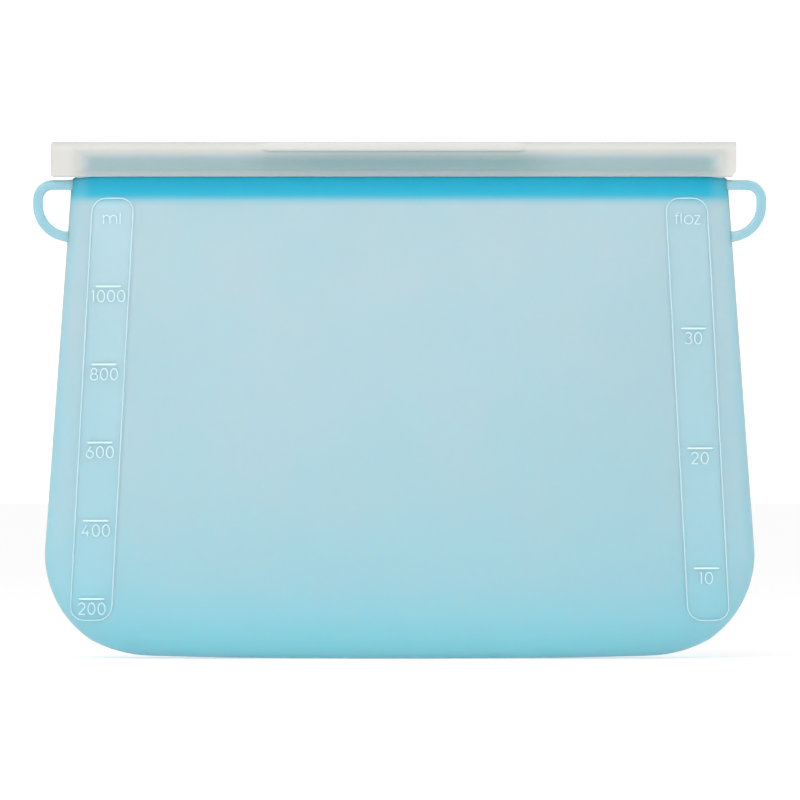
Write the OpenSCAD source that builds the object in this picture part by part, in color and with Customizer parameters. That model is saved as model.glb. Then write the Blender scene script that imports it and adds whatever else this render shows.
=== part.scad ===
// Stand-up silicone food bag with a slide-on seal bar.
// X runs along the mouth, Y from front (-) to back (+), Z up from the flat base. Millimetres.

/* [Pouch] */
// Width across the mouth
mouth_w = 218.6; // [180:0.2:265]
// How much further out than the mouth each side is, just above the bottom corners
side_flare = 9; // [5:0.1:11]
// Height from the base to the top of the mouth band
pouch_h = 159.4; // [130:0.2:195]
// Greatest depth, front to back
belly_d = 44; // [36:0.5:54]
// Depth of the flat base, front to back
base_d = 28; // [22:0.5:34]
// Radius of the two bottom corners in the front view
corner_r = 35; // [28:0.5:42]
// Thickness of the front and back walls
wall = 1.4; // [1.1:0.1:1.8]
// Thickness of the base floor
floor_t = 1.8; // [1.4:0.1:2.4]
// Width of the solid edge where front and back meet
rim_w = 2.6; // [2:0.1:3.2]
// Height of the base tray, up to the hinge lines of the walls
tray_h = 12; // [10:0.5:14.5]

/* [Mouth] */
// Height of the thick band below the seal bar
band_h = 5.4; // [4:0.1:7]
// Thickness of one mouth band
band_t = 2.8; // [2.2:0.1:3.4]
// Thickness of one neck, where it passes through the bar's slot
neck_t = 1.3; // [1:0.05:1.6]
// Height of the neck
neck_h = 3.3; // [2.8:0.1:4]
// Thickness of one sealing bead
bead_t = 2.9; // [2.3:0.1:3.5]
// Height of the sealing bead
bead_h = 6.7; // [5.5:0.1:8]
// How far the bead stops short of the mouth's corner
bead_inset = 3.2; // [2.6:0.1:4]

/* [Seal bar] */
// Thickness of the channel's sides
bar_wall = 1.3; // [1:0.05:1.6]
// Thickness of the channel's top
bar_top_t = 2.3; // [1.8:0.1:2.8]
// Height of the lips that hook under the beads
bar_lip_h = 2; // [1.6:0.1:2.4]
// How far the closed end stands past the mouth
bar_past_left = 6.9; // [5:0.1:9]
// How far the open end stands past the mouth
bar_past_right = 2.9; // [2:0.1:4]
// Length of the end stop inside the closed end
stop_len = 4.6; // [3.6:0.1:5]
// Radius of the bar's two upper edges
bar_edge_r = 3.2; // [2.4:0.1:3.6]
// Chamfer at the open end's lower corner
lead_in = 2.2; // [1.5:0.1:3]
// Length of the grip ledges
ledge_len = 93; // [77:1:111]
// Height of the grip ledges
ledge_h = 2.7; // [2.2:0.1:3.2]
// How far the ledges stand proud of the bar
ledge_out = 1; // [0.8:0.1:1.3]

/* [Hanging loops] */
// Width of the loop's strap, seen from the front
strap_w = 3.6; // [3:0.1:4.4]
// Thickness of the strap, front to back
strap_t = 2.6; // [2.1:0.1:3.2]
// How far the loop reaches out from the mouth's corner
loop_out = 12.9; // [11:0.1:15.5]
// Height of the loop
loop_h = 20.6; // [18:0.1:24.8]
// How far the middle of the loop's lower curve lies outside the mouth's corner
loop_curve_out = 0.7; // [0.4:0.1:1.2]
// Outer radius of the loop's upper corner
loop_corner_r = 6.5; // [5.4:0.1:7.8]
// Drop from the top of the band to the loop
loop_drop = 0.1; // [0:0.1:1]

/* [Gauges] */
// Width of a gauge panel
gauge_w = 13.8; // [11.5:0.1:16]
// Gap between a gauge panel and the wall's lower edge
gauge_foot_gap = 0.4; // [0.3:0.1:2]
// Corner radius of a gauge panel
gauge_r = 4.6; // [3.8:0.1:5.5]
// How far a gauge panel stands off the wall
gauge_t = 0.3; // [0.25:0.05:0.4]
// Gap between a gauge panel and the mouth band
gauge_top_gap = 0.8; // [0.4:0.1:2]
// Distance of a gauge panel's upper end from the bag's middle
gauge_x_top = 95.7; // [80:0.1:100]
// Outward lean of the gauge panels, as a share of height
gauge_lean = 0.0526; // [0.04:0.0005:0.06]
// Height of the lowest millilitre line
ml_low_z = 19.8; // [17:0.1:23.7]
// Distance between millilitre lines, 200 ml apart
ml_step = 26; // [21.7:0.1:26.4]
// Height of the lowest fluid ounce line
floz_low_z = 30; // [25:0.1:33]
// Distance between fluid ounce lines, 10 fl oz apart
floz_step = 39.9; // [33.3:0.1:45]
// Length of a graduation line
tick_len = 8.6; // [7.2:0.1:10]
// Height of the figures
figure_h = 4.2; // [3.5:0.1:5]
// Stroke width of the figures and lines
stroke_w = 0.45; // [0.38:0.01:0.6]
// How far figures and lines stand off their panel
mark_t = 0.25; // [0.2:0.01:0.35]

/* [Clearances] */
// Gap between pieces of different moving bodies
clear = 0.3; // [0.25:0.01:0.36]
// Gap under panels and figures laid on a curved wall
lay_gap = 0.17; // [0.16:0.01:0.2]

/* [Hidden] */

CORNER_ROWS = 6;
SIDE_ROWS = 15;
WALL_COLS = 36;
RIM_COLS = 4;
PANEL_ROWS = 40;
PANEL_COLS = 5;
BASE_EXP = 3;
MOUTH_EXP = 14;
EDGE_EXP = 1.8;
EPS = 0.01;

silicone = "skyblue";
deep_silicone = "deepskyblue";
clear_silicone = "powderblue";
bar_plastic = "whitesmoke";

// Heights that follow from the driving sizes
band_z = pouch_h - band_h;
bead_z = pouch_h + neck_h;
bead_top_z = bead_z + bead_h;
bar_z = pouch_h + neck_h - clear - bar_lip_h;
cavity_top_z = bead_top_z + clear;
bar_top_z = cavity_top_z + bar_top_t;

// Half widths that follow from the driving sizes
lip_y = clear / 2;
band_y = lip_y + band_t;
neck_y = lip_y + neck_t;
bead_y = lip_y + bead_t;
cavity_y = bead_y + clear;
slot_y = neck_y + clear;
bar_y = cavity_y + bar_wall;
bar_x0 = -mouth_w / 2 - bar_past_left;
bar_x1 = mouth_w / 2 + bar_past_right;

// ---- The pouch's outline and surfaces ----

// Widest width, and the slope of the straight sides that lead down to it
belly_w = mouth_w + 2 * side_flare;
side_slope = side_flare / (pouch_h - corner_r);

// Half width of the bag at height z: straight sides over round bottom corners
function half_w(z) = z >= corner_r
    ? mouth_w / 2 + side_slope * (pouch_h - z)
    : belly_w / 2 - corner_r + sqrt(pow(corner_r, 2) - pow(corner_r - z, 2));

// Half depth of the bag at its middle: a rounded foot, then a taper up to the band
foot_z = tray_h + 4;
function half_d(z) = z >= foot_z
    ? band_y + (belly_d / 2 - band_y) * sin(90 * (band_z - min(z, band_z)) / (band_z - foot_z))
    : base_d / 2 + (belly_d - base_d) / 2 * sqrt(1 - pow(1 - z / foot_z, 2));

// Squareness of the plan section: a lens lower down, nearly a slot at the mouth
function plan_exp(z) = BASE_EXP + (MOUTH_EXP - BASE_EXP) * pow(min(z, band_z) / band_z, 8);

// Share of the full depth that is left at u, the share of the half width
function plan_share(u, z) = pow(max(0, 1 - pow(min(1, abs(u)), plan_exp(z))), 1 / EDGE_EXP);

function y_out(x, z) = half_d(z) * plan_share(x / half_w(z), z);
function y_in(x, z) = (half_d(z) - wall) * plan_share(x / (half_w(z) - rim_w), z);

// Shares from -1 to 1, closer together near both ends
function spread(n) = [for (i = [0:n]) sin(-90 + 180 * i / n)];

// ---- Polyhedron helpers ----

// Triangles between rings of n points each, which run counter-clockwise seen from the far end
function ring_sides(n, m) = [for (j = [0:m - 2]) for (i = [0:n - 1])
    let (a = j * n + i, b = j * n + (i + 1) % n)
    each [[a, b + n, b], [a, a + n, b + n]]];

// A solid through rings of equal length, closed at both ends with one flat face each
module skin(rings) {
    n = len(rings[0]);
    m = len(rings);
    points = [for (r = rings) for (p = r) p];
    first = [[for (i = [0:n - 1]) i]];
    last = [[for (i = [n - 1:-1:0]) (m - 1) * n + i]];
    polyhedron(points, concat(ring_sides(n, m), first, last), convexity = 6);
}

// A shell whose rings are n outer points followed by n inner points in reverse order
module shell(rings) {
    k = len(rings[0]);
    m = len(rings);
    points = [for (r = rings) for (p = r) p];
    first = [for (i = [0:k / 2 - 2]) let (q = k - 1 - i) each [[i, i + 1, q], [i + 1, q - 1, q]]];
    last = [for (f = first) [for (v = [2:-1:0]) f[v] + (m - 1) * k]];
    polyhedron(points, concat(ring_sides(k, m), first, last), convexity = 6);
}

// ---- Pouch: base, edges and walls ----

// Closed plan ring at height z, counter-clockwise, w and d being its half sizes
function plan_ring(w, d, z, h) = [for (i = [0:4 * RING - 1])
    let (a = 90 * i / RING, c = cos(a), s = sin(a), u = sign(c) * pow(abs(c), 2 / plan_exp(z)))
    [w * u, d * sign(s) * plan_share(u, z), h]];
RING = 16;

// Heights of the tray's rings, closer together at the foot
tray_rows = [for (i = [0:5]) tray_h * (1 - cos(90 * i / 5))];

module base_tray() color(silicone) difference() {
    skin([for (z = tray_rows) plan_ring(half_w(z), half_d(z), z, z)]);
    skin([for (i = [0:4]) let (z = floor_t + (tray_h - floor_t) * i / 4)
        plan_ring(half_w(z) - rim_w, half_d(z) - wall, z, i == 4 ? z + EPS : z)]);
}

// Heights of the walls' rings: closer together beside the round bottom corners
wall_z = tray_h + clear;
wall_rows = concat(
    [for (i = [0:CORNER_ROWS - 1]) wall_z + (corner_r - wall_z) * i / CORNER_ROWS],
    [for (i = [0:SIDE_ROWS]) corner_r + (band_z - corner_r) * i / SIDE_ROWS]);

// One side's solid edge, from the tray to the top of the mouth band
module edge_rim(side) color(silicone)
    skin([for (z = concat([tray_h], wall_rows, [pouch_h]))
        let (w = half_w(z), c = spread(2 * RIM_COLS),
             xs = [for (u = c) w - rim_w * (1 - cos(90 * u))],
             ring = [for (i = [0:2 * RIM_COLS])
                 [side * xs[i], sign(c[i]) * y_out(xs[i], z) * side, z]])
        ring]);

// Front (-1) or back (1) wall, from the tray to the band
module side_wall(face) color(silicone)
    scale_y(face)
    shell([for (z = wall_rows)
        let (x_end = half_w(z) - rim_w - clear, us = spread(WALL_COLS))
        concat([for (u = us) [u * x_end, -y_out(u * x_end, z), z]],
               [for (i = [WALL_COLS:-1:0]) [us[i] * x_end, -y_in(us[i] * x_end, z), z]])]);

module scale_y(face) {
    if (face < 0) children();
    else mirror([0, 1, 0]) children();
}

// Extrudes a drawing of the YZ plane along X
module along_x(x0, x1) translate([x0, 0, 0]) rotate([90, 0, 90]) linear_extrude(x1 - x0) children();

// Thick band under the bar, one per wall
module mouth_band(face) color(deep_silicone) scale_y(face) {
    x_end = half_w(pouch_h) - rim_w - clear;
    along_x(-x_end, x_end) translate([-band_y, band_z]) square([band_t, band_h]);
}

// Neck and bead that the bar closes over
module sealing_bead(face) color(deep_silicone) scale_y(face) {
    x_end = mouth_w / 2 - bead_inset;
    along_x(-x_end, x_end) {
        translate([-neck_y, pouch_h]) square([neck_t, neck_h]);
        translate([-bead_y, bead_z]) square([bead_t, bead_h - bead_t / 2]);
        translate([-bead_y + bead_t / 2, bead_z]) square([bead_t / 2, bead_h]);
        translate([-bead_y + bead_t / 2, bead_top_z - bead_t / 2]) circle(d = bead_t, $fn = 32);
    }
}

module front_wall() side_wall(-1);
module back_wall() side_wall(1);
module front_mouth_band() mouth_band(-1);
module back_mouth_band() mouth_band(1);
module front_sealing_bead() sealing_bead(-1);
module back_sealing_bead() sealing_bead(1);
module left_edge_rim() edge_rim(-1);
module right_edge_rim() edge_rim(1);

// ---- Hanging loops ----

loop_z = pouch_h - loop_drop;
loop_arc_r = loop_out - loop_curve_out;
loop_arc_z = loop_z - loop_h + loop_arc_r;

function arc(cx, cz, r, a0, a1, n) = [for (i = [0:n])
    let (a = a0 + (a1 - a0) * i / n) [cx + r * cos(a), cz + r * sin(a)]];

// Outline of the loop, moved in by inset, drawn for the left side with the mouth's corner at x = 0
module loop_outline(inset) polygon(concat(
    [[belly_w, loop_z - inset]],
    arc(-loop_out + loop_corner_r, loop_z - loop_corner_r, loop_corner_r - inset, 90, 180, 10),
    arc(-loop_out + loop_arc_r, loop_arc_z, loop_arc_r - inset, 180, 270, 16),
    [[belly_w, loop_arc_z - loop_arc_r + inset]]));

// Strap with round ends along the bag's sloping edge, where it bends
module hanging_loop(side) color(silicone) {
    lean = atan(side_slope);
    root_x = mouth_w / 2 + clear + strap_t / 2;
    mirror([side > 0 ? 1 : 0, 0, 0]) intersection() {
        translate([-mouth_w / 2, strap_t / 2, 0]) rotate([90, 0, 0]) linear_extrude(strap_t) difference() {
            loop_outline(0);
            loop_outline(strap_w);
        }
        translate([-root_x, 0, pouch_h]) rotate([0, lean, 0]) union() {
            translate([-loop_h * 2, -strap_t, -loop_h * 2]) cube([loop_h * 2, 2 * strap_t, loop_h * 3]);
            translate([0, 0, -loop_h * 2]) cylinder(h = loop_h * 3, d = strap_t, $fn = 48);
        }
    }
}

module left_hanging_loop() hanging_loop(-1);
module right_hanging_loop() hanging_loop(1);

// ---- Gauges on the front wall ----

gauge_z1 = band_z - gauge_top_gap;
gauge_z0 = tray_h + clear + gauge_foot_gap;
gauge_mid_z = gauge_z1 - gauge_r;

// Middle line of a gauge at height z, for side -1 or 1
function gauge_x(side, z) = side * (gauge_x_top + gauge_lean * (gauge_mid_z - z));

// Half width of a gauge at height z, narrower in its round corners
function gauge_half(z) =
    let (e = min(z - gauge_z0, gauge_z1 - z))
    gauge_w / 2 - (e < gauge_r ? gauge_r - sqrt(max(0, pow(gauge_r, 2) - pow(gauge_r - e, 2))) : 0);

// Heights of a gauge's rows: the round corners at each end, then an even run
gauge_rows = let (n = 4, k = PANEL_ROWS - 2 * n) concat(
    [for (i = [0:n]) gauge_z0 + gauge_r * (1 - cos(90 * i / n))],
    [for (i = [1:k - 1]) gauge_z0 + gauge_r + (gauge_z1 - gauge_z0 - 2 * gauge_r) * i / k],
    [for (i = [n:-1:0]) gauge_z1 - gauge_r * (1 - cos(90 * i / n))]);

module gauge_panel(side) color(clear_silicone)
    shell([for (z = gauge_rows)
        let (c = gauge_x(side, z), h = max(EPS, gauge_half(z)),
             xs = [for (i = [0:PANEL_COLS]) c + h * (2 * i / PANEL_COLS - 1)])
        concat([for (x = xs) [x, -y_out(x, z) - lay_gap - gauge_t, z]],
               [for (i = [PANEL_COLS:-1:0]) [xs[i], -y_out(xs[i], z) - lay_gap, z]])]);

// Lays a flat drawing on the front wall at [x, z] as a raised mark, tilted to the wall there
module on_wall(x, z) {
    step = 0.2;
    turn = -atan((y_out(x + step, z) - y_out(x - step, z)) / (2 * step));
    tilt = atan((y_out(x, z + step) - y_out(x, z - step)) / (2 * step));
    translate([x, -y_out(x, z) - gauge_t - 2 * lay_gap, z])
        rotate([tilt, 0, turn]) rotate([90, 0, 0]) linear_extrude(mark_t) children();
}

// Points of a path moved sideways by d, for an open path or a closed one
function beside(path, d, closed) = let (n = len(path)) [for (i = [0:n - 1])
    let (a = path[closed ? (i + n - 1) % n : max(i - 1, 0)],
         b = path[closed ? (i + 1) % n : min(i + 1, n - 1)],
         t = (b - a) / norm(b - a))
    path[i] + [t[1], -t[0]] * d];

function reversed(path) = [for (i = [len(path) - 1:-1:0]) path[i]];

// A pen line along an open path
module line(path)
    polygon(concat(beside(path, stroke_w / 2, false), reversed(beside(path, -stroke_w / 2, false))));

// A pen line around a closed path
module loop(path) difference() {
    polygon(beside(path, stroke_w / 2, true));
    polygon(beside(path, -stroke_w / 2, true));
}

// Part of an ellipse, as points; a full turn leaves out its last point
function bow(cx, cz, rx, rz, a0, a1, n) = [for (i = [0:n - (a1 - a0 == 360 ? 1 : 0)])
    let (a = a0 + (a1 - a0) * i / n) [cx + rx * cos(a), cz + rz * sin(a)]];

// Open and closed lines of a character, as [open paths, closed paths], w wide and h high
function glyph(c, w, h) =
    c == "0" ? [[], [bow(w / 2, h / 2, w / 2, h / 2, 0, 360, 16)]] :
    c == "1" ? [[[[w * 0.2, h * 0.8], [w * 0.58, h * 0.95]], [[w * 0.62, h], [w * 0.62, 0]]], []] :
    c == "2" ? [[concat(bow(w / 2, h * 0.7, w * 0.46, h * 0.3, 165, -30, 8), [[0, 0], [w, 0]])], []] :
    c == "3" ? [[bow(w / 2, h * 0.77, w * 0.42, h * 0.23, 155, -90, 8),
                 bow(w / 2, h * 0.27, w * 0.5, h * 0.27, 90, -155, 9)], []] :
    c == "4" ? [[[[w * 0.72, h], [0, h * 0.28], [w, h * 0.28]], [[w * 0.72, h], [w * 0.72, 0]]], []] :
    c == "6" ? [[[[w * 0.72, h], [w * 0.06, h * 0.42]]], [bow(w / 2, h * 0.31, w / 2, h * 0.31, 0, 360, 14)]] :
    c == "8" ? [[], [bow(w / 2, h * 0.76, w * 0.4, h * 0.24, 0, 360, 12),
                     bow(w / 2, h * 0.26, w / 2, h * 0.26, 0, 360, 14)]] :
    c == "m" ? [[[[0, 0], [0, h * 0.66]],
                 concat(bow(w / 4, h * 0.42, w / 4, h * 0.22, 160, 0, 5), [[w / 2, 0]]),
                 concat(bow(w * 0.75, h * 0.42, w / 4, h * 0.22, 160, 0, 5), [[w, 0]])], []] :
    c == "l" ? [[[[w / 2, 0], [w / 2, h]]], []] :
    c == "f" ? [[concat(bow(w * 0.75, h * 0.8, w / 3, h * 0.2, 70, 180, 5), [[w * 0.42, 0]]),
                 [[w * 0.1, h * 0.62], [w * 0.85, h * 0.62]]], []] :
    c == "o" ? [[], [bow(w / 2, h * 0.32, w / 2, h * 0.32, 0, 360, 14)]] :
    [[[[0, h * 0.63], [w, h * 0.63], [0, 0], [w, 0]]], []];

// Width of a character's lines, as a share of its height
function glyph_w(c) = c == "m" ? 0.74 : c == "l" ? 0.1 : c == "f" ? 0.36 : c == "z" ? 0.42 : 0.5;

glyph_gap = 0.19 * figure_h;
function word_w(s, n) = n < 0 ? 0 : glyph_w(s[n]) * figure_h + glyph_gap + word_w(s, n - 1);

// A word centred on x with its feet at z
module word(s, x, z) {
    start = x - (word_w(s, len(s) - 1) - glyph_gap) / 2;
    for (i = [0:len(s) - 1])
        let (w = glyph_w(s[i]) * figure_h, mid = start + word_w(s, i - 1) + w / 2,
             g = glyph(s[i], w, figure_h))
            on_wall(mid, z + figure_h / 2) translate([-w / 2, -figure_h / 2]) {
                for (path = g[0]) line(path);
                for (path = g[1]) loop(path);
            }
}

// Graduation line that follows the wall's curve, centred on x at height z
module tick(x, z) {
    lift = gauge_t + 2 * lay_gap;
    half = tick_line / 2;
    xs = [for (i = [0:6]) x + tick_len * (i / 6 - 0.5)];
    shell([for (h = [z - half, z + half]) concat(
        [for (p = xs) [p, -y_out(p, h) - lift - mark_t, h]],
        [for (p = reversed(xs)) [p, -y_out(p, h) - lift, h]])]);
}
tick_line = stroke_w * 1.6;

// Figures, unit and graduation lines of one gauge: the first value and each that fits below the unit
module gauge_figures(side, unit, low_z, step, first) color("white") {
    unit_z = gauge_z1 - 2 * figure_h - 0.4;
    word(unit, gauge_x(side, unit_z), unit_z);
    for (i = [0:floor((unit_z - figure_drop - tick_line - low_z) / step)]) {
        z = low_z + i * step;
        tick(gauge_x(side, z), z);
        word(str(first * (i + 1)), gauge_x(side, z), z - figure_h - figure_drop);
    }
}
figure_drop = 1.2;

module ml_gauge_panel() gauge_panel(-1);
module floz_gauge_panel() gauge_panel(1);
module ml_gauge_figures() gauge_figures(-1, "ml", ml_low_z, ml_step, 200);
module floz_gauge_figures() gauge_figures(1, "floz", floz_low_z, floz_step, 10);

// ---- Seal bar ----

// Outer section of the bar, with round upper edges
module bar_section() {
    translate([-bar_y, bar_z]) square([2 * bar_y, bar_top_z - bar_edge_r - bar_z]);
    translate([-bar_y + bar_edge_r, bar_z]) square([2 * (bar_y - bar_edge_r), bar_top_z - bar_z]);
    for (s = [-1, 1])
        translate([s * (bar_y - bar_edge_r), bar_top_z - bar_edge_r]) circle(bar_edge_r, $fn = 64);
}

// Room inside the bar for the beads, and the slot for the necks
module bar_room() {
    translate([-cavity_y, bar_z + bar_lip_h]) square([2 * cavity_y, cavity_top_z - bar_z - bar_lip_h]);
    translate([-slot_y, bar_z - EPS]) square([2 * slot_y, bar_lip_h + 2 * EPS]);
}

module seal_bar_channel() color(bar_plastic) difference() {
    along_x(bar_x0, bar_x1) difference() {
        bar_section();
        bar_room();
    }
    translate([bar_x1, 0, bar_z]) rotate([0, 45, 0])
        cube([lead_in * sqrt(2), 4 * bar_y, lead_in * sqrt(2)], center = true);
}

module seal_bar_end_stop() color(bar_plastic) along_x(bar_x0, bar_x0 + stop_len) {
    translate([-cavity_y, bar_z + bar_lip_h]) square([2 * cavity_y, cavity_top_z - bar_z - bar_lip_h]);
    translate([-slot_y, bar_z]) square([2 * slot_y, bar_lip_h]);
}

// Two ledges for thumb and fingers, on the upper edges of the bar's middle third
module seal_bar_grip_ledges() color(bar_plastic) {
    half = ledge_len / 2;
    depth = bar_y + ledge_out;
    translate([(bar_x0 + bar_x1) / 2, 0, 0]) intersection() {
        along_x(-half, half) difference() {
            for (s = [-1, 1])
                translate([s > 0 ? bar_y - bar_edge_r : -depth, bar_top_z - ledge_h])
                    square([depth - bar_y + bar_edge_r, ledge_h]);
            bar_section();
        }
        translate([0, depth, bar_top_z]) rotate([90, 0, 0]) linear_extrude(2 * depth)
            polygon([[-half, 0], [-half + ledge_h, -ledge_h], [half - ledge_h, -ledge_h], [half, 0]]);
    }
}

base_tray();
left_edge_rim();
right_edge_rim();
front_wall();
front_mouth_band();
front_sealing_bead();
back_wall();
back_mouth_band();
back_sealing_bead();
ml_gauge_panel();
ml_gauge_figures();
floz_gauge_panel();
floz_gauge_figures();
left_hanging_loop();
right_hanging_loop();
seal_bar_channel();
seal_bar_end_stop();
seal_bar_grip_ledges();
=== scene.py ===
import math

import bmesh
import bpy
import numpy as np
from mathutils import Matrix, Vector


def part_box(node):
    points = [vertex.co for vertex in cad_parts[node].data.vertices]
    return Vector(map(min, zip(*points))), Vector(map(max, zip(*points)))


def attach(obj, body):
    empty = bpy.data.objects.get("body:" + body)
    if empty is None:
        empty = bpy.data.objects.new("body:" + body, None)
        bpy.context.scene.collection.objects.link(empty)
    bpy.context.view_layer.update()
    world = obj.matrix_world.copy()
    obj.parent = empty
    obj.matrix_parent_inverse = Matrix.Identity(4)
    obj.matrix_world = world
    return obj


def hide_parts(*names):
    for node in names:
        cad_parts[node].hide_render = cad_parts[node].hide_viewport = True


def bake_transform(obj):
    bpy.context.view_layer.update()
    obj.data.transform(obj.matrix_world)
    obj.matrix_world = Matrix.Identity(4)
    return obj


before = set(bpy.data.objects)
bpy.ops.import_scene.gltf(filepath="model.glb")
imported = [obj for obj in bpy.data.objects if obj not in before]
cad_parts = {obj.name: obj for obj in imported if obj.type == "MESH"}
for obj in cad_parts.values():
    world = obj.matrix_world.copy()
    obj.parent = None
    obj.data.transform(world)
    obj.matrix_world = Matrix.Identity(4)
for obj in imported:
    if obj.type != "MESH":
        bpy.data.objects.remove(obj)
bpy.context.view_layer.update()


# Pouch halves
# A soft pouch moulded in one shot from translucent cyan silicone, frosted except at its gauge windows.
# Each half runs from the middle of the flat base, round the foot and up to the thick band below the bar,
# and the halves meet at the parting line down the two solid edges.

WALL = 0.0014
FLOOR = 0.0018
EDGE = 0.0026
CORNER_R = 0.035
PARTING_GAP = 0.00001
LIP_ROUND = 0.0005
MOUTH_CORNER = 0.0016
BASE_CROWN = 0.0009
CROWN_FADE_H = 0.006
FLOOR_BLEND_H = 0.012
CHANNEL_GAP = 0.0001
BAND_END_GAP = 0.0003
FOOT_ABOVE_TRAY = 0.004
SWELL_H = 0.004
CLOSE_DROP = 0.0022
CLOSE_H = 0.0026

tray_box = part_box("base_tray")
wall_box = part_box("front_wall")
band_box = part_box("front_mouth_band")
rim_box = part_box("right_edge_rim")
bar_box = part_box("seal_bar_channel")

LIP_Y = 0.00015
BAND_Z = band_box[0].z
BAND_Y = -band_box[0].y
RIM_TOP = bar_box[0].z - CHANNEL_GAP
MOUTH_HALF = band_box[1].x + EDGE + BAND_END_GAP
BELLY_HALF = rim_box[1].x
BELLY_D = -wall_box[0].y
BASE_D = 0.014
FOOT_Z = tray_box[1].z + FOOT_ABOVE_TRAY
FLARE = (BELLY_HALF - MOUTH_HALF) / (band_box[1].z - CORNER_R)

# How square the plan is at the foot, how much squarer it gets up to the band, and how full its sides are
FOOT_SQUARENESS = 3
BAND_SQUARENESS = 11
SQUARENESS_RISE = 8
SIDE_FULLNESS = 1.8

# How far the deeper colour reaches in from the edges, and how much paler the band is at its ends
RIM_SHADE = 0.28
RIM_SHADE_W = 0.0032
RIM_SHADE_FADE = 0.0014
BAND_END_SHARE = 0.82
BAND_END_W = 0.0072
BAND_END_FADE = 0.0045

# Heights and how much deeper the colour is there: towards the foot, and at the thick band under the bar
FOOT_RISE = [0.0013, 0.006, 0.0127, 0.0193, 0.026, 0.036, 0.053, 0.086, 0.125]
FOOT_SHARE = [0.92, 0.84, 0.65, 0.50, 0.37, 0.28, 0.18, 0.11, 0.02]
BAND_RISE = [0.1507, 0.1520, 0.1527, 0.1533, 0.1543, 0.1553, 0.1575, 0.1600]
BAND_SHARE = [0.0, 0.20, 0.42, 0.66, 0.90, 0.96, 0.98, 1.0]

# Heights between which the band's own deep cyan is darkened towards the bar above it, as painted shade from
# the bar
BAND_SHADE_RISE = (0.1528, 0.1595)


def smooth(t):
    """An eased step: 0 up to t = 0 and 1 from t = 1."""
    t = np.clip(t, 0, 1)
    return t * t * (3 - 2 * t)


def half_width(z):
    """Half the pouch's width at a height: flared sides over round lower corners."""
    straight = MOUTH_HALF + FLARE * (band_box[1].z - z)
    drop = np.clip(CORNER_R - z, 0, CORNER_R)
    return np.where(z >= CORNER_R, straight, BELLY_HALF - CORNER_R + np.sqrt(CORNER_R**2 - drop**2))


def half_depth(z):
    """Half the pouch's depth in its middle: a round foot, then a taper up to the band."""
    rise = np.clip((BAND_Z - z) / (BAND_Z - FOOT_Z), 0, 1)
    upper = BAND_Y + (BELLY_D - BAND_Y) * np.sin(rise * math.pi / 2)
    under = np.clip(1 - z / FOOT_Z, 0, 1)
    lower = BASE_D + (BELLY_D - BASE_D) * np.sqrt(1 - under**2)
    return np.where(z >= FOOT_Z, upper, lower)


def depth_share(u, z):
    """Share of the middle's depth that is left at u, which runs from -1 to 1 across the pouch."""
    square = FOOT_SQUARENESS + BAND_SQUARENESS * (np.minimum(z, BAND_Z) / BAND_Z) ** SQUARENESS_RISE
    return np.clip(1 - np.clip(np.abs(u), 0, 1) ** square, 0, 1) ** (1 / SIDE_FULLNESS)


def wall_depth(x, z):
    """Distance of the outer face from the parting plane."""
    return half_depth(z) * depth_share(x / half_width(z), z)


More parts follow.
